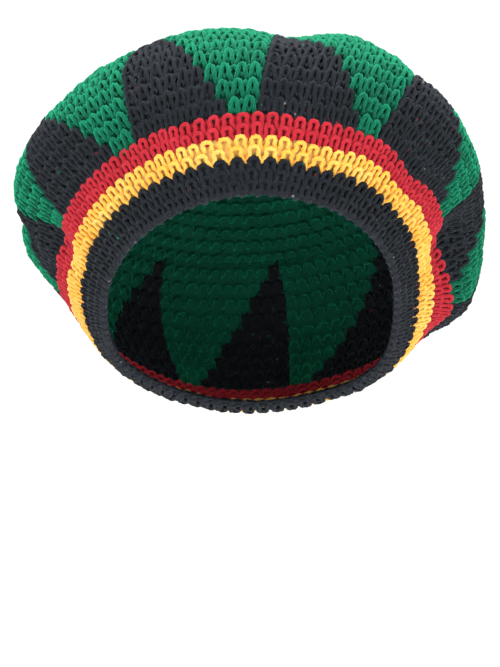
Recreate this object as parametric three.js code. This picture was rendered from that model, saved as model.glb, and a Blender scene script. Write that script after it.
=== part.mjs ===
// A crocheted rasta tam as it is worn: a black head band, a gold and a red stripe, and a full slouching
// crown of green and black wedges that grow out of one another, with a plain green top.
// Millimetres. +X is the wearer's left (the right of the front view), +Y is the back, +Z is up.
// The origin is the middle of the head opening.

import * as THREE from "three";

// Head opening, at the lower edge of the band
const HEAD_WIDTH = 150;
const HEAD_LENGTH = 199;
const RIM_TILT = 32; // degrees, forehead up and nape down
const ROLL = 3; // degrees, the +X side sits higher

// Crown, measured from the middle of the opening
const CROWN_WIDTH = 250;
const CROWN_FRONT = 129; // reach of the fullest ring towards the forehead
const CROWN_BACK = 144; // reach of the fullest ring towards the nape
const CROWN_RISE = 145; // from the plane of the opening to the middle of the top
const TOP_SHIFT = 13; // the middle of the top lies this far behind the middle of the opening
const FOLD_DEPTH = 12; // the deepest sag of the soft wall

// Crocheted wall
const WALL = 4.5;
const SEAM = 0.35; // clearance between neighbouring pieces

// Heights of the colours, along the wall
const BRIM_HEIGHT = 18;
const GOLD_HEIGHT = 12;
const RED_HEIGHT = 12;
const WEDGE_HEIGHT = 80;

// Green and black pattern of the crown
const GREEN_TIP = 12; // width of two stitches, where a green wedge starts on the red stripe
const BLACK_TIP = 3; // width that is left where a black wedge ends
const LEAN = 9.3; // degrees that the wedges lean towards -X over their height
const EVEN = 4; // degrees that space the stitches evenly round the oval rings

// Facets
const COLUMNS = 6; // across a wedge
const RING_COLUMNS = 66; // round the tam
const TOP_END = 0.985; // share of the wall where the last ring of the top is, before its facets meet

// Rings of the wall. up is the place along the wall, as a share of it. frontUp, sideUp and backUp are shares
// of CROWN_RISE. front, side and back are shares of the way to the fullest ring, in the lower rings from the
// rim and in the upper ones from the middle of the top.
const LOWER_RINGS = [
  { up: 0, front: 0, frontUp: 0, side: 0, sideUp: 0, back: 0, backUp: 0 },
  { up: 0.073, front: 0.32, frontUp: 0.093, side: 0.21, sideUp: 0.098, back: 0.46, backUp: 0.06 },
  { up: 0.122, front: 0.59, frontUp: 0.143, side: 0.36, sideUp: 0.154, back: 0.61, backUp: 0.117 },
  { up: 0.171, front: 0.79, frontUp: 0.208, side: 0.5, sideUp: 0.221, back: 0.75, backUp: 0.189 },
  { up: 0.244, front: 1, frontUp: 0.328, side: 0.76, sideUp: 0.323, back: 0.94, backUp: 0.331 },
];
const UPPER_RINGS = [
  { up: 0.317, front: 0.98, frontUp: 0.466, side: 0.984, sideUp: 0.446, back: 1, backUp: 0.482 },
  { up: 0.402, front: 0.89, frontUp: 0.604, side: 0.996, sideUp: 0.575, back: 0.94, backUp: 0.644 },
  { up: 0.512, front: 0.745, frontUp: 0.735, side: 0.864, sideUp: 0.735, back: 0.79, backUp: 0.795 },
  { up: 0.659, front: 0.52, frontUp: 0.855, side: 0.648, sideUp: 0.91, back: 0.52, backUp: 0.921 },
  { up: 0.829, front: 0.225, frontUp: 0.951, side: 0.336, sideUp: 1.005, back: 0.22, backUp: 0.994 },
  { up: 1, front: 0, frontUp: 1, side: 0, sideUp: 1, back: 0, backUp: 1 },
];

// Sags and bulges of the soft wall. angle and spread are degrees round the tam, up and length are shares
// of the wall, and across (+X) and lift (+Z) are shares of FOLD_DEPTH.
const FOLDS = [
  { name: "right nape fullness", angle: 136, spread: 30, up: 0.073, length: 0.22, across: 0.93, lift: -0.24 },
  { name: "left nape fullness", angle: -136, spread: 28, up: 0, length: 0.146, across: -0.58, lift: 0.3 },
  { name: "right slouch", angle: 114, spread: 22, up: 0.293, length: 0.11, across: 0.5, lift: -1.45 },
  { name: "left notch", angle: -91, spread: 6, up: 0.329, length: 0.098, across: 0.79, lift: -0.21 },
  { name: "left tuck", angle: -118, spread: 14, up: 0.268, length: 0.098, across: 0.31, lift: 0.45 },
  { name: "right shoulder", angle: 70, spread: 30, up: 0.427, length: 0.146, across: -0.4, lift: -0.27 },
  { name: "left stripe dent", angle: -76, spread: 6, up: 0.171, length: 0.061, across: 0.35, lift: 0.22 },
  { name: "right stripe dent", angle: 86, spread: 7, up: 0.183, length: 0.061, across: -0.45, lift: 0.4 },
  { name: "right overhang", angle: 50, spread: 8, up: 0.171, length: 0.061, across: -0.24, lift: -0.29 },
  { name: "right stripe flare", angle: 106, spread: 10, up: 0.195, length: 0.061, across: 0.5, lift: -0.45 },
  { name: "front dip", angle: 9, spread: 9, up: 0.439, length: 0.171, across: 0.1, lift: -0.47 },
  { name: "left swell", angle: -22, spread: 14, up: 0.439, length: 0.171, across: 0.52, lift: 0.35 },
  { name: "right swell", angle: 30, spread: 12, up: 0.439, length: 0.171, across: -0.32, lift: 0.26 },
  { name: "right brow", angle: 19, spread: 12, up: 0.122, length: 0.098, across: 0.1, lift: -0.24 },
  { name: "left brow", angle: -13, spread: 9, up: 0.146, length: 0.098, across: -0.27, lift: -0.14 },
  { name: "left crest", angle: -40, spread: 8, up: 0.49, length: 0.1, across: 0.35, lift: 0.38 },
  { name: "right slope", angle: 42, spread: 9, up: 0.5, length: 0.1, across: 0.24, lift: -0.61 },
  { name: "left hang", angle: -104, spread: 12, up: 0.22, length: 0.08, across: -0.21, lift: 0.26 },
];

// Where each green wedge starts on the red stripe, as a share of a turn from the middle of the front towards
// +X. The four at the back are spread evenly.
const GREEN_TIPS = [-0.003, 0.085, 0.201, 0.285, 0.377, 0.463, 0.55, 0.636, 0.722, 0.81, 0.909];

const SIZES = ["front", "frontUp", "side", "sideUp", "back", "backUp"];
const radians = THREE.MathUtils.degToRad;

// The rings in millimetres
function ringSizes() {
  const rim = { front: HEAD_LENGTH / 2, side: HEAD_WIDTH / 2, back: HEAD_LENGTH / 2 };
  const full = { front: CROWN_FRONT, side: CROWN_WIDTH / 2, back: CROWN_BACK };
  const middle = { front: -TOP_SHIFT, side: 0, back: TOP_SHIFT };
  const size = (ring, end) => {
    const sizes = { up: ring.up };
    for (const part of ["front", "side", "back"]) {
      sizes[part] = THREE.MathUtils.lerp(end[part], full[part], ring[part]);
      sizes[`${part}Up`] = ring[`${part}Up`] * CROWN_RISE;
    }
    return sizes;
  };
  return [...LOWER_RINGS.map((ring) => size(ring, rim)), ...UPPER_RINGS.map((ring) => size(ring, middle))];
}

// Slope of one size at each ring, for a smooth curve through unevenly spaced rings
function slopes(rings, size) {
  const steps = rings.slice(1).map((ring, i) => ({
    width: ring.up - rings[i].up,
    slope: (ring[size] - rings[i][size]) / (ring.up - rings[i].up),
  }));
  const inner = steps.slice(1).map((step, i) => {
    const before = steps[i];
    return (before.slope * step.width + step.slope * before.width) / (before.width + step.width);
  });
  const first = 1.5 * steps[0].slope - 0.5 * inner[0];
  const last = 1.5 * steps[steps.length - 1].slope - 0.5 * inner[inner.length - 1];
  return [first, ...inner, last];
}

const rings = ringSizes();
const ringSlopes = Object.fromEntries(SIZES.map((size) => [size, slopes(rings, size)]));

// The ring at any place up the wall
function ringAt(up) {
  let i = 0;
  while (i < rings.length - 2 && up > rings[i + 1].up) i += 1;
  const width = rings[i + 1].up - rings[i].up;
  const t = (up - rings[i].up) / width;
  const ring = {};
  for (const size of SIZES) {
    const slope = ringSlopes[size];
    ring[size] =
      rings[i][size] * (1 + 2 * t) * (1 - t) ** 2 +
      rings[i + 1][size] * t ** 2 * (3 - 2 * t) +
      width * (slope[i] * t * (1 - t) ** 2 - slope[i + 1] * t ** 2 * (1 - t));
  }
  return ring;
}

// Outer surface of the wall. angle is in degrees, 0 at the front and 90 at +X, and up is a share of the wall.
function surface(angle, up) {
  const turn = radians(angle + EVEN * Math.sin(radians(2 * angle)));
  const ring = ringAt(up);
  const reach = (ring.back - ring.front) / 2 - ((ring.front + ring.back) / 2) * Math.cos(turn);
  const middleUp = (ring.frontUp + ring.backUp) / 2;
  const rise =
    (middleUp + ring.sideUp) / 2 +
    ((ring.frontUp - ring.backUp) / 2) * Math.cos(turn) +
    ((middleUp - ring.sideUp) / 2) * Math.cos(2 * turn);
  const tilt = radians(RIM_TILT);
  const point = new THREE.Vector3(ring.side * Math.sin(turn));
  point.y = reach * Math.cos(tilt) + rise * Math.sin(tilt);
  point.z = rise * Math.cos(tilt) - reach * Math.sin(tilt) + point.x * Math.tan(radians(ROLL));
  for (const fold of FOLDS) {
    const aside = THREE.MathUtils.euclideanModulo(angle - fold.angle + 180, 360) - 180;
    const depth = Math.exp(-((aside / fold.spread) ** 2) - ((up - fold.up) / fold.length) ** 2);
    point.x += fold.across * FOLD_DEPTH * depth;
    point.z += fold.lift * FOLD_DEPTH * depth;
  }
  return point;
}

// How the surface runs round and up at a point, for each degree and for the whole wall, and where it faces
function frame(angle, up) {
  const turn = 0.05;
  const rise = 0.001;
  const around = surface(angle + turn, up).sub(surface(angle - turn, up)).divideScalar(2 * turn);
  const low = Math.max(up - rise, 0);
  const high = Math.min(up + rise, 1);
  const upward = surface(angle, high).sub(surface(angle, low)).divideScalar(high - low);
  return { around, upward, out: around.clone().cross(upward).normalize() };
}

// Length of the wall from the rim to the middle of the top, along the +X side
function wallLength() {
  const steps = 200;
  let length = 0;
  for (let i = 0; i < steps; i += 1) {
    length += surface(90, i / steps).distanceTo(surface(90, (i + 1) / steps));
  }
  return length;
}

// One piece of the wall between two heights and, unless it goes all the way round, between two edges.
// Its edges stand back by half a seam, but not at the rim, which is the open edge of the tam.
function wallPiece({ from, to, left, right, columns, rows, rim = false, centre = false }) {
  const whole = left === undefined;
  const outer = [];
  const inner = [];
  for (let j = 0; j <= rows; j += 1) {
    for (let i = 0; i < (whole ? columns : columns + 1); i += 1) {
      const low = j === 0 && !rim;
      const high = j === rows && !centre;
      let up = from + ((to - from) * j) / rows;
      const start = whole ? -180 : left(up);
      const end = whole ? 180 : right(up);
      let angle = start + ((end - start) * i) / columns;
      const { around, upward } = frame(angle, up);
      if (low) up += SEAM / 2 / upward.length();
      if (high) up -= SEAM / 2 / upward.length();
      if (!whole && i === 0) angle += SEAM / 2 / around.length();
      if (!whole && i === columns) angle -= SEAM / 2 / around.length();
      const point = surface(angle, up);
      outer.push(point);
      inner.push(point.clone().addScaledVector(frame(angle, up).out, -WALL));
    }
  }
  return { outer, inner, whole, columns, rows, centre };
}

// The closed shell of a piece: its outer and inner face, and the edges between them
function shell(piece) {
  const { outer, inner, whole, columns, rows, centre } = piece;
  const across = whole ? columns : columns + 1;
  const points = [...outer, ...inner];
  const faces = [];
  const at = (i, j) => j * across + (whole ? i % columns : i);
  const under = (i, j) => at(i, j) + outer.length;
  const quad = (a, b, c, d) => faces.push(a, b, c, a, c, d);
  for (let j = 0; j < rows; j += 1) {
    for (let i = 0; i < columns; i += 1) {
      quad(at(i, j), at(i + 1, j), at(i + 1, j + 1), at(i, j + 1));
      quad(under(i, j), under(i, j + 1), under(i + 1, j + 1), under(i + 1, j));
    }
    if (!whole) {
      quad(at(0, j), at(0, j + 1), under(0, j + 1), under(0, j));
      quad(at(columns, j), under(columns, j), under(columns, j + 1), at(columns, j + 1));
    }
  }
  for (let i = 0; i < columns; i += 1) {
    quad(at(i, 0), under(i, 0), under(i + 1, 0), at(i + 1, 0));
    if (!centre) quad(at(i, rows), at(i + 1, rows), under(i + 1, rows), under(i, rows));
  }
  if (centre) {
    const middle = surface(0, 1);
    const axis = frame(0, TOP_END).out.add(frame(180, TOP_END).out).normalize();
    points.push(middle, middle.clone().addScaledVector(axis, -WALL));
    for (let i = 0; i < columns; i += 1) {
      faces.push(at(i, rows), at(i + 1, rows), points.length - 2);
      faces.push(under(i + 1, rows), under(i, rows), points.length - 1);
    }
  }
  const geometry = new THREE.BufferGeometry().setFromPoints(points);
  geometry.setIndex(faces);
  geometry.computeVertexNormals();
  return geometry;
}

const yarn = (color) => new THREE.MeshStandardMaterial({ color, roughness: 0.95, metalness: 0 });
const black = yarn(0x24272d);
const gold = yarn(0xf6cb55);
const red = yarn(0xcf2339);
const green = yarn(0x129a6c);

const tam = new THREE.Group();

function addPiece(name, material, piece) {
  const mesh = new THREE.Mesh(shell(wallPiece(piece)), material);
  mesh.name = name;
  tam.add(mesh);
}

// The band and the two stripes, each all the way round
const wall = wallLength();
const goldStart = BRIM_HEIGHT / wall;
const redStart = goldStart + GOLD_HEIGHT / wall;
const crownStart = redStart + RED_HEIGHT / wall;
const topStart = crownStart + WEDGE_HEIGHT / wall;
const around = { columns: RING_COLUMNS };
addPiece("brim_band", black, { ...around, from: 0, to: goldStart, rows: 3, rim: true });
addPiece("gold_stripe", gold, { ...around, from: goldStart, to: redStart, rows: 2 });
addPiece("red_stripe", red, { ...around, from: redStart, to: crownStart, rows: 2 });

// Half a width as an angle at a point of the wall
function halfAngle(width, angle, up) {
  return width / 2 / frame(angle, up).around.length();
}

// Seam of the black wedge that comes after green wedge n, on its -X side for side -1 or its +X side for
// side 1. It runs straight from the red stripe to where the black wedge ends.
function seam(n, side) {
  const count = GREEN_TIPS.length;
  const tip = (m) => 360 * (GREEN_TIPS[THREE.MathUtils.euclideanModulo(m, count)] + Math.floor(m / count));
  const start = tip(side < 0 ? n : n + 1);
  const low = start - side * halfAngle(GREEN_TIP, start, crownStart);
  const end = (tip(n) + tip(n + 1)) / 2 - LEAN;
  const high = end + side * halfAngle(BLACK_TIP, end, topStart);
  return (up) => THREE.MathUtils.lerp(low, high, (up - crownStart) / (topStart - crownStart));
}

// Green wedges widen upwards from their tips, and black ones fill the places between
const wedge = { from: crownStart, to: topStart, columns: COLUMNS, rows: 9 };
GREEN_TIPS.forEach((_, n) => {
  const number = String(n + 1).padStart(2, "0");
  addPiece(`green_wedge_${number}`, green, { ...wedge, left: seam(n - 1, 1), right: seam(n, -1) });
  addPiece(`black_wedge_${number}`, black, { ...wedge, left: seam(n, -1), right: seam(n, 1) });
});

// The top closes in the middle
addPiece("crown_top", green, { ...around, from: topStart, to: TOP_END, rows: 7, centre: true });

export default tam;
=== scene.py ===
"""A crocheted rasta tam: rounds of single crochet in plied acrylic yarn, swept along the CAD's surface.

Every stitch is one arch of a strand that runs round the tam. In the crown a second strand fills the gaps
behind the arches, and on the inner side each stitch is a short bar. The strands' paths are worked out here
from the named sizes of the tam, and one Geometry Nodes tree spins the yarn round them.
"""

import math

import bpy
import numpy as np
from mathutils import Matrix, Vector


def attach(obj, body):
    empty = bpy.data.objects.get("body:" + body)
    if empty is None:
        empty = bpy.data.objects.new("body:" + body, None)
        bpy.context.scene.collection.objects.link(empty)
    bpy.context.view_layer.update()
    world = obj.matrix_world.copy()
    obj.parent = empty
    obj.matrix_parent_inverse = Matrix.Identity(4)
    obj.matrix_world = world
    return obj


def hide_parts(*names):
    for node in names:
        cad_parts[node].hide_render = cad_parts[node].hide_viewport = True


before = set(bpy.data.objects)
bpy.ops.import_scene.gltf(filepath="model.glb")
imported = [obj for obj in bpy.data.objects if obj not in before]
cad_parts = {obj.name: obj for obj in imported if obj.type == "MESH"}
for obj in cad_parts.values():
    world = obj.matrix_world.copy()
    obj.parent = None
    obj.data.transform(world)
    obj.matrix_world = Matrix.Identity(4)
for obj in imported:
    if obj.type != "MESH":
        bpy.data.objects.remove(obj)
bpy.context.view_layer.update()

MM = 0.001

# Camera: level, in front of the tam, with the tam in the upper half of the frame
CAMERA_DISTANCE = 1.0
CAMERA_HEIGHT = -0.012
FOCAL_PIXELS = 1970
FRAME_HEIGHT = 667  # pixels, the long side
SENSOR = 36

# Head opening, in millimetres and degrees, as in the CAD
HEAD_WIDTH = 150
HEAD_LENGTH = 199
RIM_TILT = 32
ROLL = 3

# Crown
CROWN_WIDTH = 250
CROWN_FRONT = 129
CROWN_BACK = 144
CROWN_RISE = 145
TOP_SHIFT = 13
FOLD_DEPTH = 12
EVEN = 4

# Heights of the colours, along the wall
BRIM_HEIGHT = 18
GOLD_HEIGHT = 12
RED_HEIGHT = 12
WEDGE_HEIGHT = 80

# Wedges. Each green one starts narrow, at a share of the way round from the front towards +X.
GREEN_TIP = 12  # width of a green wedge at the stripes, in millimetres
BLACK_TIP = 3  # width of a black wedge at the top, in millimetres
LEAN = 9.3  # degrees that the wedges lean towards -X on their way up
GREEN_TIPS = [-0.003, 0.085, 0.201, 0.285, 0.377, 0.463, 0.55, 0.636, 0.722, 0.81, 0.909]

# Stitches all the way round, for each round from the rim up. The wedges share theirs by their widths.
BRIM_ROUNDS = [84, 84, 84]
GOLD_ROUNDS = [84, 98]
RED_ROUNDS = [110, 110]
WEDGE_ROUNDS = [112] * 9
TOP_ROUNDS = [104, 98, 91, 85, 78, 72, 65, 58, 52, 45, 39, 32, 26, 19, 12, 6]
DRIFT = 0.1  # stitches that each round lies further towards +X than the one below it
SEAM_PLACE = 0.35  # how far up a round its stitches are shared out between the colours
SPARE = 0.15  # of a stitch, added to the width of a wedge before its stitches are counted
SAME = 1e-6  # places along the wall that differ by less are the same

# Yarn and stitch, in millimetres
YARN = 2.5
PLIES = 4
SIMPLE_PLIES = 3  # in the strands behind and inside, which show less
PLY_DEPTH = 0.17  # share of the yarn's radius
PLY_TWIST = 15  # length of one turn
OVERLAP = 0.9  # by which a stitch's half height is larger than half of its round
SKIN = 1.5  # depth of the yarn's middle under the CAD's outer face
LINING = 3.9  # depth of the yarn's middle on the inner side
INNER_YARN = 1.35  # share of the yarn's thickness, where it lies looser on the inner side
TUCK = 0.9  # how deep the ends of a strand are tucked into the fabric
FILL_TUCK = 2.2  # the same for the filling strand, which starts at its highest place
SHEET = 2.6  # depth of the fabric's closed middle
SHEET_LIFT = 1.3  # how far each colour's middle reaches up behind the next
SHEET_THICK = 0.5

# How near to the middle of the top the yarn and the closed middle come, as shares of the wall
TOP_CLIP = 0.996
SHEET_CLIP = 0.9995

# The finished edge of the opening, in millimetres
RIM_REACH = 1.0  # how far each strand swings in and out
RIM_SWAY = 0.55  # how far each strand swings up and down
RIM_HEIGHT = 1.5  # of the edge's middle, above the rim along the wall
RIM_DEPTH = 2.2  # of the edge's middle, under the outer face
RIM_YARN = 1.1  # share of the yarn's thickness
RIM_STEPS = 10  # for each stitch of the first round

# Texture of the yarn, in millimetres
FIBRE_WIDTH = 0.25
FIBRE_LENGTH = 3
LINT = 0.8
FUZZ_DEPTH = 0.3
FLECK_SPACE = 5
FLECK_WIDTH = 1.2
FLECK_SHARE = 0.35  # share of the places that hold a fleck

# Brightness at which the yarn shows its shade and its plain colour. It shows its light colour at 1.
SHADE_AT = 0.3
PLAIN_AT = 0.62

# For each yarn: tone of the closed middle, a painted light on it (a painted shade in the green), and tone
# lost for each millimetre below the fabric's face, a painted shade on the deeper yarn (negative in the
# black: painted light on its deeper yarn and painted shade on its tops, which flattens its shading)
PAINTED_LIGHT_AND_SHADE = {"black": (14.0, -4.0), "gold": (5.0, 0.6), "red": (2.0, 1.0), "green": (-4.0, 2.4)}
FACE = 0.6  # height of that face, in the stitch tables below, in millimetres
FULL = {"black": 1.12, "gold": 1.0, "red": 1.0, "green": 1.04}  # shares of the yarn's thickness

# Rings and folds of the CAD's surface
LOWER_RINGS = [
    # up, front, front up, side, side up, back, back up
    (0, 0, 0, 0, 0, 0, 0),
    (0.073, 0.32, 0.093, 0.21, 0.098, 0.46, 0.06),
    (0.122, 0.59, 0.143, 0.36, 0.154, 0.61, 0.117),
    (0.171, 0.79, 0.208, 0.5, 0.221, 0.75, 0.189),
    (0.244, 1, 0.328, 0.76, 0.323, 0.94, 0.331),
]
UPPER_RINGS = [
    (0.317, 0.98, 0.466, 0.984, 0.446, 1, 0.482),
    (0.402, 0.89, 0.604, 0.996, 0.575, 0.94, 0.644),
    (0.512, 0.745, 0.735, 0.864, 0.735, 0.79, 0.795),
    (0.659, 0.52, 0.855, 0.648, 0.91, 0.52, 0.921),
    (0.829, 0.225, 0.951, 0.336, 1.005, 0.22, 0.994),
    (1, 0, 1, 0, 1, 0, 1),
]
FOLDS = [
    # angle, spread, up, length, across, lift
    (136, 30, 0.073, 0.22, 0.93, -0.24),  # right nape fullness
    (-136, 28, 0, 0.146, -0.58, 0.3),  # left nape fullness
    (114, 22, 0.293, 0.11, 0.5, -1.45),  # right slouch
    (-91, 6, 0.329, 0.098, 0.79, -0.21),  # left notch
    (-118, 14, 0.268, 0.098, 0.31, 0.45),  # left tuck
    (70, 30, 0.427, 0.146, -0.4, -0.27),  # right shoulder
    (-76, 6, 0.171, 0.061, 0.35, 0.22),  # left stripe dent
    (86, 7, 0.183, 0.061, -0.45, 0.4),  # right stripe dent
    (50, 8, 0.171, 0.061, -0.24, -0.29),  # right overhang
    (106, 10, 0.195, 0.061, 0.5, -0.45),  # right stripe flare
    (9, 9, 0.439, 0.171, 0.1, -0.47),  # front dip
    (-22, 14, 0.439, 0.171, 0.52, 0.35),  # left swell
    (30, 12, 0.439, 0.171, -0.32, 0.26),  # right swell
    (19, 12, 0.122, 0.098, 0.1, -0.24),  # right brow
    (-13, 9, 0.146, 0.098, -0.27, -0.14),  # left brow
    (-40, 8, 0.49, 0.1, 0.35, 0.38),  # left crest
    (42, 9, 0.5, 0.1, 0.24, -0.61),  # right slope
    (-104, 12, 0.22, 0.08, -0.21, 0.26),  # left hang
]

# One stitch from a point between two arches to its top: share of the stitch's width, share of its half
# height, height above the fabric in millimetres, and share of the yarn's thickness
ARCH = [
    (0.0, -1.0, -0.8, 0.95),
    (0.08, -0.74, -0.45, 1.25),
    (0.19, -0.42, 0.0, 1.45),
    (0.26, -0.08, 0.3, 1.5),
    (0.25, 0.24, 0.55, 1.2),
    (0.215, 0.56, 0.8, 0.92),
    (0.31, 0.92, 0.95, 0.88),
    (0.5, 1.0, 1.0, 0.88),
]
# The same in the crown, where the arches are plumper
CROWN_ARCH = [
    (0.0, -0.94, -1.0, 1.1),
    (0.09, -0.76, -0.5, 1.22),
    (0.17, -0.48, 0.1, 1.3),
    (0.225, -0.16, 0.5, 1.35),
    (0.255, 0.16, 0.8, 1.4),
    (0.3, 0.46, 0.95, 1.42),
    (0.38, 0.7, 1.0, 1.4),
    (0.5, 0.8, 0.95, 1.36),
]
# The strand behind the crown's arches, which closes each round but for short notches between their legs
FILL = [
    (0.0, 0.6, 0.7, 1.6),
    (0.13, 0.42, 0.5, 1.5),
    (0.3, 0.0, -0.2, 1.3),
    (0.5, -0.42, 0.1, 1.4),
]
# The same on the inner side, where each stitch shows as a short bar
BAR = [
    (0.0, -0.75, 0.9, 0.8),
    (0.1, -0.3, 0.3, 0.95),
    (0.2, 0.3, -0.35, 1.05),
    (0.5, 0.5, -0.7, 1.1),
]
ARCH_STEPS = 14
BACK_STEPS = 6  # of the filling strand and the bar

# How much a stitch may differ from the next: width and height in shares, depth in millimetres, thickness
LOOSE = (0.065, 0.09, 0.3, 0.07)
LOOSE_LIMIT = 2  # standard deviations
SEED = 420

# Camera
camera = bpy.data.objects.new("camera", bpy.data.cameras.new("camera"))
camera.data.sensor_width = SENSOR
camera.data.lens = FOCAL_PIXELS / FRAME_HEIGHT * SENSOR
camera.location = (0, -CAMERA_DISTANCE, CAMERA_HEIGHT)
camera.rotation_euler = (math.radians(90), 0, 0)
bpy.context.scene.collection.objects.link(camera)
bpy.context.scene.camera = camera


# The surface of the tam
def ring_table():
    """The place of each ring along the wall, and its six sizes in millimetres."""
    rim = (HEAD_LENGTH / 2, 0, HEAD_WIDTH / 2, 0, HEAD_LENGTH / 2, 0)
    full = (CROWN_FRONT, CROWN_RISE, CROWN_WIDTH / 2, CROWN_RISE, CROWN_BACK, CROWN_RISE)
    middle = (-TOP_SHIFT, 0, 0, 0, TOP_SHIFT, 0)
    rings = [(rim, ring) for ring in LOWER_RINGS] + [(middle, ring) for ring in UPPER_RINGS]
    ups = np.array([ring[0] for _, ring in rings])
    return ups, np.array([[e + (f - e) * s for e, f, s in zip(end, full, ring[1:])] for end, ring in rings])


def ring_slopes(ups, sizes):
    """Slope of each size at each ring, for a smooth curve through unevenly spaced rings."""
    width = np.diff(ups)[:, None]
    step = np.diff(sizes, axis=0) / width
    inner = (step[:-1] * width[1:] + step[1:] * width[:-1]) / (width[:-1] + width[1:])
    first = 1.5 * step[0] - 0.5 * inner[0]
    last = 1.5 * step[-1] - 0.5 * inner[-1]
    return np.vstack([first, inner, last])


RING_UPS, RING_SIZES = ring_table()
RING_SLOPES = ring_slopes(RING_UPS, RING_SIZES)


def surface(angle, up):
    """Points of the outer face in millimetres. Angles are degrees, 0 at the front and 90 at +X."""
    angle, up = np.broadcast_arrays(np.asarray(angle, float), np.asarray(up, float))
    i = np.clip(np.searchsorted(RING_UPS, up, side="right") - 1, 0, len(RING_UPS) - 2)
    width = (RING_UPS[i + 1] - RING_UPS[i])[..., None]
    t = (up - RING_UPS[i])[..., None] / width
    ring = (
        RING_SIZES[i] * (1 + 2 * t) * (1 - t) ** 2
        + RING_SIZES[i + 1] * t**2 * (3 - 2 * t)
        + width * (RING_SLOPES[i] * t * (1 - t) ** 2 - RING_SLOPES[i + 1] * t**2 * (1 - t))
    )
    front, front_up, side, side_up, back, back_up = np.moveaxis(ring, -1, 0)
    turn = np.radians(angle + EVEN * np.sin(np.radians(2 * angle)))
    reach = (back - front) / 2 - (front + back) / 2 * np.cos(turn)
    middle_up = (front_up + back_up) / 2
    rise = (middle_up + side_up) / 2 + (front_up - back_up) / 2 * np.cos(turn)
    rise = rise + (middle_up - side_up) / 2 * np.cos(2 * turn)
    tilt = math.radians(RIM_TILT)
    x = side * np.sin(turn)
    y = reach * math.cos(tilt) + rise * math.sin(tilt)
    z = rise * math.cos(tilt) - reach * math.sin(tilt) + x * math.tan(math.radians(ROLL))
    for fold_angle, spread, fold_up, length, across, lift in FOLDS:
        aside = (angle - fold_angle + 180) % 360 - 180
        depth = FOLD_DEPTH * np.exp(-((aside / spread) ** 2) - ((up - fold_up) / length) ** 2)
        x = x + across * depth
        z = z + lift * depth
    return np.stack([x, y, z], axis=-1)


def around(angle, up):
    """How the surface runs round the tam, for each degree."""
    turn = 0.05
    return (surface(angle + turn, up) - surface(angle - turn, up)) / (2 * turn)


def outward(angle, up):
    """Unit vectors out of the surface."""
    rise, highest = 0.001, 0.997
    angle, up = np.broadcast_arrays(np.asarray(angle, float), np.clip(up, rise, highest))
    upward = surface(angle, up + rise) - surface(angle, up - rise)
    out = np.cross(around(angle, up), upward)
    return out / np.linalg.norm(out, axis=-1, keepdims=True)


def wall_length():
    """From the rim to the middle of the top, along the +X side."""
    points = surface(90, np.linspace(0, 1, 201))
    return np.linalg.norm(np.diff(points, axis=0), axis=1).sum()


WALL = wall_length()
GOLD_START = BRIM_HEIGHT / WALL
RED_START = GOLD_START + GOLD_HEIGHT / WALL
CROWN_START = RED_START + RED_HEIGHT / WALL
TOP_START = CROWN_START + WEDGE_HEIGHT / WALL


def seam(n, side):
    """The seam on the -X side (-1) or +X side (1) of the black wedge after green wedge n, as two angles."""
    count = len(GREEN_TIPS)

    def tip(m):
        return 360 * (GREEN_TIPS[m % count] + m // count)

    def half_angle(width, angle, up):
        return width / 2 / np.linalg.norm(around(angle, up))

    start = tip(n if side < 0 else n + 1)
    end = (tip(n) + tip(n + 1)) / 2 - LEAN
    low = start - side * half_angle(GREEN_TIP, start, CROWN_START)
    return low, end + side * half_angle(BLACK_TIP, end, TOP_START)


def seam_angle(seam_ends, up):
    """The angle of a seam at a place along the wall."""
    share = (up - CROWN_START) / (TOP_START - CROWN_START)
    return seam_ends[0] + (seam_ends[1] - seam_ends[0]) * share


# Rounds of stitches
def rounds():
    """Every round: the place of its lower edge and its height, as shares of the wall, and its stitches."""
    made = []
    zones = [
        (0, GOLD_START, BRIM_ROUNDS),
        (GOLD_START, RED_START, GOLD_ROUNDS),
        (RED_START, CROWN_START, RED_ROUNDS),
        (CROWN_START, TOP_START, WEDGE_ROUNDS),
        (TOP_START, 1, TOP_ROUNDS),
    ]
    for low, high, counts in zones:
        height = (high - low) / len(counts)
        for count in counts:
            made.append({"low": low, "height": height, "count": count, "index": len(made)})
            low += height
    return made


rng = np.random.default_rng(SEED)
ROUNDS = rounds()
for ring in ROUNDS:
    step = 360 / ring["count"]
    ring["start"] = (0.5 + DRIFT * ring["index"]) * step - 180
    loose = rng.normal(0, 1, (ring["count"], 5))
    ring["loose"] = np.clip(loose, -LOOSE_LIMIT, LOOSE_LIMIT)


def smooth_table(table, steps):
    """A whole stitch from the rows of its first half, as steps + 1 evenly spaced rows."""
    half = np.array(table)
    mirror = half[-2::-1] * (-1, 1, 1, 1) + (1, 0, 0, 0)
    rows = np.vstack([half, mirror])
    beyond = np.vstack([rows[-2] - (1, 0, 0, 0), rows, rows[1] + (1, 0, 0, 0)])
    slope = (beyond[2:] - beyond[:-2]) / 2
    place = np.linspace(0, len(rows) - 1, steps + 1)
    i = np.minimum(place.astype(int), len(rows) - 2)
    t = (place - i)[:, None]
    return (
        rows[i] * (1 + 2 * t) * (1 - t) ** 2
        + rows[i + 1] * t**2 * (3 - 2 * t)
        + slope[i] * t * (1 - t) ** 2
        - slope[i + 1] * t**2 * (1 - t)
    )


ARCH_ROWS = smooth_table(ARCH, ARCH_STEPS)
CROWN_ROWS = smooth_table(CROWN_ARCH, ARCH_STEPS)
FILL_ROWS = smooth_table(FILL, BACK_STEPS)
BAR_ROWS = smooth_table(BAR, BACK_STEPS)


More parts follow.
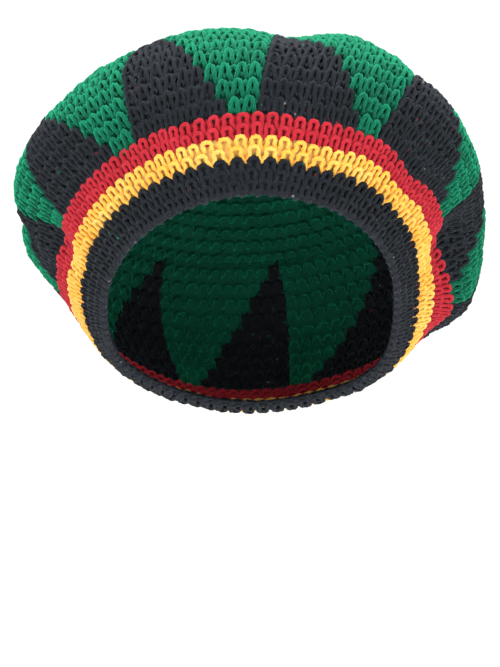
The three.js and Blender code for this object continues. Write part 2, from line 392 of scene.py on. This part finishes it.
def strand(ring, run, table, depth, half, thickness=1.0, side=1, simple=0, tuck=TUCK):
    """The path of one strand through a run of stitches in a round, with its thickness and tone.

    A run is its first angle, its step and its count. The side is 1 outside and -1 inside.
    """
    start, step, count = run
    steps = len(table) - 1
    stitch = np.append(np.repeat(np.arange(count), steps), count - 1)
    rows = np.vstack([np.tile(table[:-1], (count, 1)), table[-1]])
    along = stitch + rows[:, 0]

    centres = np.arange(-1, count + 1)
    nearest = np.round((start - ring["start"]) / 360 * ring["count"]).astype(int)
    loose = ring["loose"][(centres + nearest) % ring["count"]]
    width, height, lift, thick, tone = (np.interp(along, centres + 0.5, column) for column in loose.T)
    angle = start + (along + LOOSE[0] * width) * step
    up = ring["low"] + ring["height"] / 2 + rows[:, 1] * half * (1 + LOOSE[1] * height)
    up = np.clip(up, 0.0, TOP_CLIP)
    ends = np.minimum(np.arange(len(up)), np.arange(len(up))[::-1])
    tucked = np.clip(1 - ends / 2, 0, 1)
    out = rows[:, 2] - depth + LOOSE[2] * lift - tuck * tucked * side
    points = surface(angle, up) + outward(angle, up) * out[:, None]
    size = rows[:, 3] * thickness * (1 + LOOSE[3] * thick)
    # Height above the fabric, which sets the painted shade deeper in it; the inner side keeps the face's
    # height and takes none
    face = rows[:, 2] if side > 0 else np.full(len(points), FACE)
    simple = np.full(len(points), simple)
    return {"points": points, "size": size, "tone": tone, "height": face, "simple": simple}


def strands_of(ring, run):
    """The strands of a run of stitches."""
    half = ring["height"] / 2 + OVERLAP / WALL
    made = [strand(ring, run, BAR_ROWS, LINING, ring["height"] / 2, INNER_YARN, side=-1, simple=1)]
    if ring["low"] < CROWN_START - SAME:
        made.append(strand(ring, run, ARCH_ROWS, SKIN, half))
    else:
        made.append(strand(ring, run, CROWN_ROWS, SKIN, half))
        made.append(strand(ring, run, FILL_ROWS, SKIN, half, simple=1, tuck=FILL_TUCK))
    return made


# The closed middle of the fabric
def lifted(up):
    """A boundary between two colours in the middle of the fabric, except at the rim and at the very top."""
    return up + SHEET_LIFT / WALL if 0 < up < 1 else up


def sheet(low, high, left, right, columns, rows):
    """A thin closed shell between two heights and two edges, given as functions of the height."""
    up = np.linspace(low, high, rows + 1)[:, None]
    share = np.linspace(0, 1, columns + 1)[None, :]
    angle = left(up) + (right(up) - left(up)) * share
    up = np.broadcast_to(np.minimum(up, SHEET_CLIP), angle.shape)
    place, out = surface(angle, up), outward(angle, up)
    faces = []
    outer = (place - out * SHEET).reshape(-1, 3)
    inner = (place - out * (SHEET + SHEET_THICK)).reshape(-1, 3)
    across = columns + 1
    count = len(outer)
    for j in range(rows):
        for i in range(columns):
            a, b = j * across + i, (j + 1) * across + i
            faces.append((a, a + 1, b + 1, b))
            faces.append((a + count, b + count, b + 1 + count, a + 1 + count))
    for i in range(columns):
        top = rows * across + i
        faces.append((i, i + count, i + 1 + count, i + 1))
        faces.append((top, top + 1, top + 1 + count, top + count))
    for j in range(rows):
        a, b = j * across, (j + 1) * across
        faces.append((a, b, b + count, a + count))
        a, b = a + columns, b + columns
        faces.append((a, a + count, b + count, b))
    return np.vstack([outer, inner]), faces


# Yarn materials
def linear(hex_colour):
    """An sRGB hex colour as linear RGBA."""
    channels = [int(hex_colour[i : i + 2], 16) / 255 for i in (1, 3, 5)]
    return (*[c / 12.92 if c <= 0.04045 else ((c + 0.055) / 1.055) ** 2.4 for c in channels], 1)


def add(tree, kind, inputs=None, **settings):
    """Adds a node with its settings, and sets or links its inputs by name or number."""
    node = tree.nodes.new(kind)
    for name, value in settings.items():
        setattr(node, name, value)
    for name, value in (inputs or {}).items():
        if isinstance(value, bpy.types.NodeSocket):
            tree.links.new(value, node.inputs[name])
        else:
            node.inputs[name].default_value = value
    return node


def acrylic_yarn(name, shade, plain, light, sheen, sheen_tint, flecks=()):
    """Plied acrylic yarn: soft and matt, with a fuzz that catches light at the edges of each strand.

    The strand attribute is a place in the straightened yarn, in metres: across the section, and along it.
    """
    material = bpy.data.materials.new(name)
    material.use_nodes = True
    tree = material.node_tree
    tree.nodes.clear()
    place = add(tree, "ShaderNodeAttribute", attribute_name="strand").outputs["Vector"]
    tone = add(tree, "ShaderNodeAttribute", attribute_name="tone").outputs["Fac"]

    # Fibres lie along the strand, thin and long
    fine, long = 1 / (FIBRE_WIDTH * MM), 1 / (FIBRE_LENGTH * MM)
    fibre_place = add(tree, "ShaderNodeMapping", {"Vector": place, "Scale": (fine, fine, long)})
    fibres = add(
        tree,
        "ShaderNodeTexNoise",
        {"Vector": fibre_place.outputs[0], "Scale": 1.0, "Detail": 3.0, "Roughness": 0.6},
    ).outputs["Fac"]

    # Lint and loose fibre ends
    object_place = add(tree, "ShaderNodeTexCoord").outputs["Object"]
    lint = add(
        tree, "ShaderNodeTexNoise", {"Vector": object_place, "Scale": 1 / (LINT * MM), "Detail": 4.0}
    ).outputs["Fac"]

    # The grooves between the plies lie nearer to the strand's middle, and get a painted shade
    flat = add(tree, "ShaderNodeVectorMath", {0: place, 1: (1, 1, 0)}, operation="MULTIPLY").outputs[0]
    reach = add(tree, "ShaderNodeVectorMath", {0: flat}, operation="LENGTH").outputs["Value"]
    ridge = add(
        tree,
        "ShaderNodeMapRange",
        {
            "Value": reach,
            "From Min": YARN / 2 * (1 - PLY_DEPTH) * MM,
            "From Max": YARN / 2 * MM,
            "To Min": 0.0,
            "To Max": 1.0,
        },
    ).outputs[0]

    # Brightness: the stitch's own random tone, with painted shade or painted light for its depth in the
    # fabric, painted shade in the grooves between the plies, the fibres and the lint
    weights = [(tone, 0.05), (ridge, 0.3), (fibres, 0.6), (lint, 0.35)]
    total = 0.0
    for value, weight in weights:
        total = add(
            tree, "ShaderNodeMath", {0: value, 1: weight, 2: total}, operation="MULTIPLY_ADD"
        ).outputs[0]
    ramp = add(tree, "ShaderNodeValToRGB", {"Fac": total})
    ramp.color_ramp.elements[0].position = SHADE_AT
    ramp.color_ramp.elements[0].color = linear(shade)
    ramp.color_ramp.elements[1].position = 1.0
    ramp.color_ramp.elements[1].color = linear(light)
    middle = ramp.color_ramp.elements.new(PLAIN_AT)
    middle.color = linear(plain)

    # Flecks of lint and of the carried yarns, caught in some of the cells of a loose grid
    colour = ramp.outputs[0]
    if flecks:
        scale = 1 / (FLECK_SPACE * MM)
        cells = add(tree, "ShaderNodeTexVoronoi", {"Vector": object_place, "Scale": scale}).outputs
        chance = add(tree, "ShaderNodeSeparateColor", {"Color": cells["Color"]}).outputs
        size = FLECK_WIDTH / 2 / FLECK_SPACE
        near = add(tree, "ShaderNodeMath", {0: cells["Distance"], 1: size}, operation="LESS_THAN")
        kept = add(tree, "ShaderNodeMath", {0: chance["Red"], 1: FLECK_SHARE}, operation="LESS_THAN")
        fleck = add(
            tree, "ShaderNodeMath", {0: near.outputs[0], 1: kept.outputs[0]}, operation="MULTIPLY"
        )
        kinds = add(tree, "ShaderNodeValToRGB", {"Fac": chance["Green"]})
        kinds.color_ramp.interpolation = "CONSTANT"
        kinds.color_ramp.elements[0].color = linear(flecks[0])
        kinds.color_ramp.elements[1].position = (len(flecks) - 1) / len(flecks)
        kinds.color_ramp.elements[1].color = linear(flecks[-1])
        for k in range(1, len(flecks) - 1):
            kinds.color_ramp.elements.new(k / len(flecks)).color = linear(flecks[k])
        colour = add(
            tree, "ShaderNodeMix", {0: fleck.outputs[0], 6: colour, 7: kinds.outputs[0]}, data_type="RGBA"
        ).outputs[2]

    bump = add(tree, "ShaderNodeBump", {"Height": fibres, "Strength": 0.5, "Distance": FIBRE_WIDTH * MM})
    fuzz = add(
        tree,
        "ShaderNodeBump",
        {"Height": lint, "Strength": 0.4, "Distance": FUZZ_DEPTH * MM, "Normal": bump.outputs[0]},
    )
    yarn = add(
        tree,
        "ShaderNodeBsdfPrincipled",
        {
            "Base Color": colour,
            "Roughness": 0.9,
            "Specular IOR Level": 0.2,
            "Sheen Weight": sheen,
            "Sheen Roughness": 0.45,
            "Sheen Tint": linear(sheen_tint),
            "Normal": fuzz.outputs[0],
        },
    )
    add(tree, "ShaderNodeOutputMaterial", {"Surface": yarn.outputs[0]})
    return material


FLECKS = ("#7e1f2e", "#14694f", "#6f747c")  # red, green and pale
# Each yarn's first colour is its painted shade, taken in the ply grooves and the deeper yarn as well as
# where its random tone and fibres run dark; the gold's is a bright orange, a painted glow of light passing
# between its strands
YARNS = {
    "black": acrylic_yarn("black_acrylic_yarn", "#14171c", "#191d22", "#323841", 0.12, "#8f99ad", FLECKS),
    "gold": acrylic_yarn("gold_acrylic_yarn", "#ff9f26", "#f5c055", "#ffdf9e", 0.3, "#fff1c4"),
    "red": acrylic_yarn("red_acrylic_yarn", "#981a26", "#b82333", "#ce3f48", 0.18, "#ff9a9e"),
    "green": acrylic_yarn("green_acrylic_yarn", "#02342b", "#03644a", "#0b8964", 0.6, "#2ff0aa"),
}


# The tree that spins the yarn
def yarn_tree():
    """Sweeps a plied section along the loose edges of a mesh, and keeps its faces as they are."""
    tree = bpy.data.node_groups.new("yarn", "GeometryNodeTree")
    for name, kind in (
        ("Geometry", "NodeSocketGeometry"),
        ("Yarn radius", "NodeSocketFloat"),
        ("Ply depth", "NodeSocketFloat"),
        ("Plies", "NodeSocketInt"),
        ("Ply twist", "NodeSocketFloat"),
        ("Yarn", "NodeSocketMaterial"),
    ):
        tree.interface.new_socket(name=name, in_out="INPUT", socket_type=kind)
    tree.interface.new_socket(name="Geometry", in_out="OUTPUT", socket_type="NodeSocketGeometry")
    given = add(tree, "NodeGroupInput").outputs

    edge_faces = add(tree, "GeometryNodeInputMeshEdgeNeighbors").outputs["Face Count"]
    is_path = add(
        tree, "FunctionNodeCompare", {2: edge_faces, 3: 0}, data_type="INT", operation="EQUAL"
    ).outputs[0]
    parts = add(
        tree,
        "GeometryNodeSeparateGeometry",
        {"Geometry": given["Geometry"], "Selection": is_path},
        domain="EDGE",
    ).outputs
    simple = add(tree, "GeometryNodeInputNamedAttribute", {"Name": "simple"}, data_type="FLOAT")
    kinds = add(
        tree,
        "GeometryNodeSeparateGeometry",
        {"Geometry": parts[0], "Selection": simple.outputs[0]},
        domain="POINT",
    ).outputs

    inner_radius = add(
        tree, "ShaderNodeMath", {0: given["Ply depth"], 1: -1.0, 2: 1.0}, operation="MULTIPLY_ADD"
    ).outputs[0]
    inner_radius = add(
        tree, "ShaderNodeMath", {0: inner_radius, 1: given["Yarn radius"]}, operation="MULTIPLY"
    ).outputs[0]
    made = []
    for paths, plies in ((kinds[1], given["Plies"]), (kinds[0], SIMPLE_PLIES)):
        size = add(
            tree, "GeometryNodeInputNamedAttribute", {"Name": "size"}, data_type="FLOAT"
        ).outputs[0]
        length = add(tree, "GeometryNodeSplineParameter").outputs["Length"]
        curve = add(tree, "GeometryNodeMeshToCurve", {"Mesh": paths}).outputs[0]
        curve = add(tree, "GeometryNodeSetCurveRadius", {"Curve": curve, "Radius": size}).outputs[0]
        turns = add(
            tree, "ShaderNodeMath", {0: length, 1: given["Ply twist"]}, operation="DIVIDE"
        ).outputs[0]
        tilt = add(tree, "ShaderNodeMath", {0: turns, 1: 2 * math.pi}, operation="MULTIPLY").outputs[0]
        curve = add(tree, "GeometryNodeSetCurveTilt", {"Curve": curve, "Tilt": tilt}).outputs[0]
        curve = add(
            tree,
            "GeometryNodeStoreNamedAttribute",
            {"Geometry": curve, "Name": "along", "Value": length},
            data_type="FLOAT",
            domain="POINT",
        ).outputs[0]
        section = add(
            tree,
            "GeometryNodeCurveStar",
            {"Points": plies, "Inner Radius": inner_radius, "Outer Radius": given["Yarn radius"]},
        ).outputs[0]
        section_place = add(tree, "GeometryNodeInputPosition").outputs[0]
        section = add(
            tree,
            "GeometryNodeStoreNamedAttribute",
            {"Geometry": section, "Name": "across", "Value": section_place},
            data_type="FLOAT_VECTOR",
            domain="POINT",
        ).outputs[0]
        made.append(
            add(
                tree,
                "GeometryNodeCurveToMesh",
                {"Curve": curve, "Profile Curve": section, "Fill Caps": True},
            ).outputs[0]
        )
    joined = add(tree, "GeometryNodeJoinGeometry")
    for piece in [*made, parts[1]]:
        tree.links.new(piece, joined.inputs[0])

    across = add(tree, "GeometryNodeInputNamedAttribute", {"Name": "across"}, data_type="FLOAT_VECTOR")
    along = add(tree, "GeometryNodeInputNamedAttribute", {"Name": "along"}, data_type="FLOAT")
    split = add(tree, "ShaderNodeSeparateXYZ", {0: across.outputs[0]}).outputs
    place = add(tree, "ShaderNodeCombineXYZ", {"X": split["X"], "Y": split["Y"], "Z": along.outputs[0]})
    geometry = add(
        tree,
        "GeometryNodeStoreNamedAttribute",
        {"Geometry": joined.outputs[0], "Name": "strand", "Value": place.outputs[0]},
        data_type="FLOAT_VECTOR",
        domain="POINT",
    ).outputs[0]
    for name in ("along", "across", "size", "simple"):
        geometry = add(
            tree, "GeometryNodeRemoveAttribute", {"Geometry": geometry, "Name": name}
        ).outputs[0]
    geometry = add(tree, "GeometryNodeSetShadeSmooth", {"Geometry": geometry}).outputs[0]
    geometry = add(tree, "GeometryNodeRealizeInstances", {"Geometry": geometry}).outputs[0]
    geometry = add(
        tree, "GeometryNodeSetMaterial", {"Geometry": geometry, "Material": given["Yarn"]}
    ).outputs[0]
    add(tree, "NodeGroupOutput", {"Geometry": geometry})
    return tree


YARN_TREE = yarn_tree()


def yarn_piece(name, strands, shell, yarn, nodes):
    """Spins yarn round the strands' paths and makes the result, with the closed middle, one piece."""
    points, faces = shell
    # The closed middle's outer side takes its yarn's painted light or painted shade
    sheet_painted_tone, painted_shading_per_mm = PAINTED_LIGHT_AND_SHADE[yarn]
    sheet_painted_tones = np.repeat([sheet_painted_tone, 0.0], len(points) // 2)
    places, edges, start = [points], [], len(points)
    attributes = {"size": [np.ones(start)], "tone": [sheet_painted_tones], "simple": [np.zeros(start)]}
    for path in strands:
        count = len(path["points"])
        places.append(path["points"])
        edges.extend((start + k, start + k + 1) for k in range(count - 1))
        for key in attributes:
            attributes[key].append(path[key])
        attributes["size"][-1] = path["size"] * FULL[yarn]
        # Each strand takes painted shade for its depth below the fabric's face (painted light in the black)
        deep = np.maximum(FACE - path["height"], -FACE)
        attributes["tone"][-1] = path["tone"] - painted_shading_per_mm * deep
        start += count
    mesh = bpy.data.meshes.new(name)
    mesh.from_pydata((np.vstack(places) * MM).tolist(), edges, faces)
    for key, values in attributes.items():
        attribute = mesh.attributes.new(key, "FLOAT", "POINT")
        attribute.data.foreach_set("value", np.concatenate(values).astype("f4"))
    piece = bpy.data.objects.new(name, mesh)
    bpy.context.scene.collection.objects.link(piece)

    spin = piece.modifiers.new("yarn", "NODES")
    spin.node_group = YARN_TREE
    values = {
        "Yarn radius": YARN / 2 * MM,
        "Ply depth": PLY_DEPTH,
        "Plies": PLIES,
        "Ply twist": PLY_TWIST * MM,
        "Yarn": YARNS[yarn],
    }
    for item in YARN_TREE.interface.items_tree:
        if item.in_out == "INPUT" and item.name in values:
            spin[item.identifier] = values[item.name]
    graph = bpy.context.evaluated_depsgraph_get()
    spun = bpy.data.meshes.new_from_object(piece.evaluated_get(graph), depsgraph=graph)
    spun.name = name
    piece.modifiers.remove(spin)
    piece.data = spun
    bpy.data.meshes.remove(mesh)
    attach(piece, "root")
    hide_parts(*nodes)


def rim_edge():
    """The finished edge: two strands that lie over one another, once for each stitch of the first round."""
    made = []
    ring = ROUNDS[0]
    lag = 0.6  # radians between a strand's two swings
    turn = np.linspace(0, 2 * math.pi * ring["count"], RIM_STEPS * ring["count"] + 1)
    angle = ring["start"] + turn / (2 * math.pi) * 360 / ring["count"]
    for side in (-1, 1):
        up = (RIM_HEIGHT + side * RIM_SWAY * np.sin(turn / 2 + lag)) / WALL
        out = side * RIM_REACH * np.cos(turn / 2) - RIM_DEPTH
        points = surface(angle, up) + outward(angle, up) * out[:, None]
        plain = np.zeros(len(points))
        path = {"points": points, "size": plain + RIM_YARN, "tone": plain}
        made.append(path | {"height": plain + FACE, "simple": plain})
    return made


# The band, the stripes and the top, each all the way round
def whole(name, yarn, low, high, nodes, columns, rows):
    """A piece that goes all the way round, with the columns and rows of its closed middle."""
    strands = rim_edge() if low == 0 else []
    for ring in ROUNDS:
        if low - SAME <= ring["low"] < high - SAME:
            strands += strands_of(ring, (ring["start"], 360 / ring["count"], ring["count"]))

    def left(up):
        return np.full_like(up, -180)

    def right(up):
        return np.full_like(up, 180)

    shell = sheet(lifted(low), lifted(high), left, right, columns, rows)
    yarn_piece(name, strands, shell, yarn, nodes)


whole("brim_band_crochet", "black", 0, GOLD_START, ["brim_band"], columns=120, rows=4)
whole("gold_stripe_crochet", "gold", GOLD_START, RED_START, ["gold_stripe"], columns=120, rows=3)
whole("red_stripe_crochet", "red", RED_START, CROWN_START, ["red_stripe"], columns=120, rows=3)

# The top, in two pieces of fewer triangles
MIDDLE_ROUNDS = 11
TOP_SPLIT = ROUNDS[-MIDDLE_ROUNDS]["low"]
whole("crown_top_crochet", "green", TOP_START, TOP_SPLIT, ["crown_top"], columns=100, rows=9)
whole("crown_middle_crochet", "green", TOP_SPLIT, 1, ["crown_top"], columns=80, rows=16)


# Wedges
def wedge(name, yarn, left, right, node):
    """One wedge: in each round, as many stitches as fit between its two seams."""
    strands = []
    for ring in ROUNDS:
        if CROWN_START - SAME <= ring["low"] < TOP_START - SAME:
            up = ring["low"] + ring["height"] * SEAM_PLACE
            start = seam_angle(left, up)
            width = seam_angle(right, up) - start
            count = max(1, round(width / 360 * ring["count"] + SPARE))
            strands += strands_of(ring, (start, width / count, count))
    shell = sheet(
        lifted(CROWN_START),
        lifted(TOP_START),
        lambda up: seam_angle(left, up),
        lambda up: seam_angle(right, up),
        columns=12,
        rows=16,
    )
    yarn_piece(name, strands, shell, yarn, [node])


for n in range(len(GREEN_TIPS)):
    green_node, black_node = f"green_wedge_{n + 1:02d}", f"black_wedge_{n + 1:02d}"
    wedge(f"{green_node}_crochet", "green", seam(n - 1, 1), seam(n, -1), green_node)
    wedge(f"{black_node}_crochet", "black", seam(n, -1), seam(n, 1), black_node)


# Studio: a pale floor that curves up into a round backdrop
def studio():
    """A bowl of matt white board: flat under the tam, and curving up to a wall. Lengths are in metres."""
    floor, radius, bend, height = -0.175, 2.6, 0.8, 2.4
    sides, bend_steps = 96, 12
    profile = [(0.0, floor), (radius - bend, floor)]
    for k in range(1, bend_steps + 1):
        t = math.radians(90 * k / bend_steps)
        profile.append((radius - bend + bend * math.sin(t), floor + bend * (1 - math.cos(t))))
    profile.append((radius, floor + height))
    places, faces = [(0, 0, floor)], []
    for reach, z in profile[1:]:
        places += [
            (reach * math.cos(2 * math.pi * k / sides), reach * math.sin(2 * math.pi * k / sides), z)
            for k in range(sides)
        ]
    for k in range(sides):
        after = (k + 1) % sides
        faces.append((0, 1 + k, 1 + after))
        for j in range(len(profile) - 2):
            a, b = 1 + j * sides, 1 + (j + 1) * sides
            faces.append((a + k, b + k, b + after, a + after))
    mesh = bpy.data.meshes.new("studio_floor")
    mesh.from_pydata(places, [], faces)
    mesh.shade_smooth()
    board = bpy.data.objects.new("studio_floor", mesh)
    bpy.context.scene.collection.objects.link(board)
    material = bpy.data.materials.new("matt_white_board")
    material.use_nodes = True
    shader = material.node_tree.nodes["Principled BSDF"]
    shader.inputs["Base Color"].default_value = linear("#f2f2f0")
    shader.inputs["Roughness"].default_value = 0.95
    shader.inputs["Specular IOR Level"].default_value = 0.1
    mesh.materials.append(material)


TAM_MIDDLE = (0, 0.03, 0.04)


def soft_light(name, place, size, power):
    """A square softbox of white light that faces the middle of the tam."""
    data = bpy.data.lights.new(name, "AREA")
    data.shape = "SQUARE"
    data.size = size
    data.energy = power
    light = bpy.data.objects.new(name, data)
    light.location = place
    towards = Vector(TAM_MIDDLE) - Vector(place)
    light.rotation_euler = towards.to_track_quat("-Z", "Y").to_euler()
    bpy.context.scene.collection.objects.link(light)


studio()
soft_light("key_light", (-0.6, -1.3, 1.2), 0.8, 18)
soft_light("fill_light", (1.1, -1.2, 0.6), 0.9, 9)
soft_light("top_light", (0.0, 0.2, 1.6), 1.0, 34)
soft_light("back_light", (0.3, 1.5, 0.9), 1.0, 16)

world = bpy.data.worlds.new("soft_sky")
world.use_nodes = True
sky = world.node_tree.nodes["Background"]
sky.inputs["Color"].default_value = linear("#ffffff")
sky.inputs["Strength"].default_value = 0.6
bpy.context.scene.world = world
bpy.context.scene.view_settings.view_transform = "Standard"
